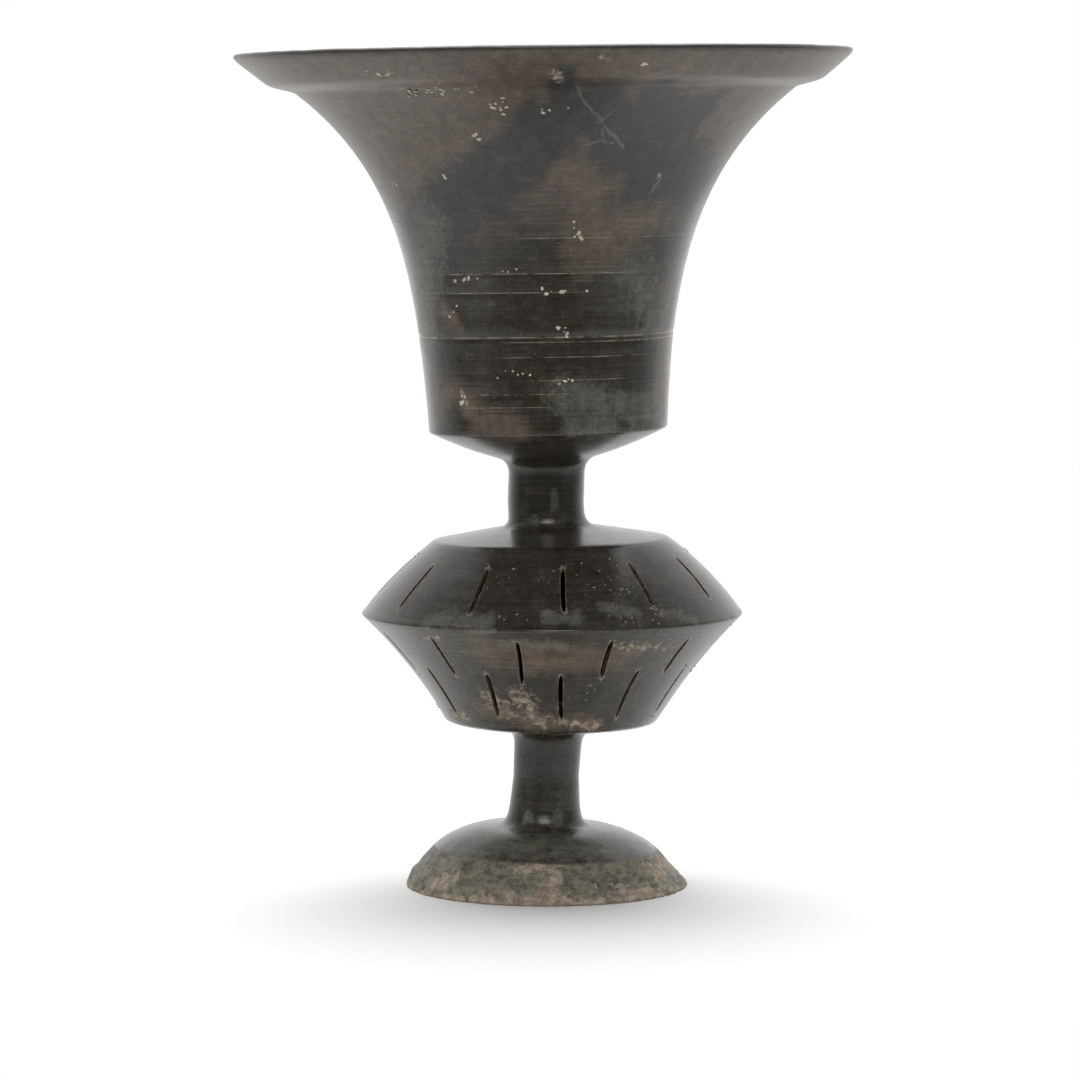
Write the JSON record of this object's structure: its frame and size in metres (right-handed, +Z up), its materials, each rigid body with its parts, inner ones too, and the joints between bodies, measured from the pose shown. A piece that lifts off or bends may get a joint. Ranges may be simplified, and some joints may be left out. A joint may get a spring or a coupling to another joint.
{
  "type": "eggshell pottery stem cup",
  "caption": "Thin black pottery stem cup: bell-shaped bowl with a stepped flaring rim, a hollow slit biconical knop on a tubular stem, and a domed hollow foot it stands on.",
  "frame": {"origin": "centre of the foot's flat underside", "axes": "+Z up the stem, -Y towards the side seen in the picture, +X to the right of that view"},
  "size_m": [0.15, 0.15, 0.2045],
  "materials": {
    "black_pottery": "burnished satin, worn, with earth in the slits"
  },
  "bodies": {
    "root": {"stem_cup": "black_pottery"}
  },
  "joints": []
}
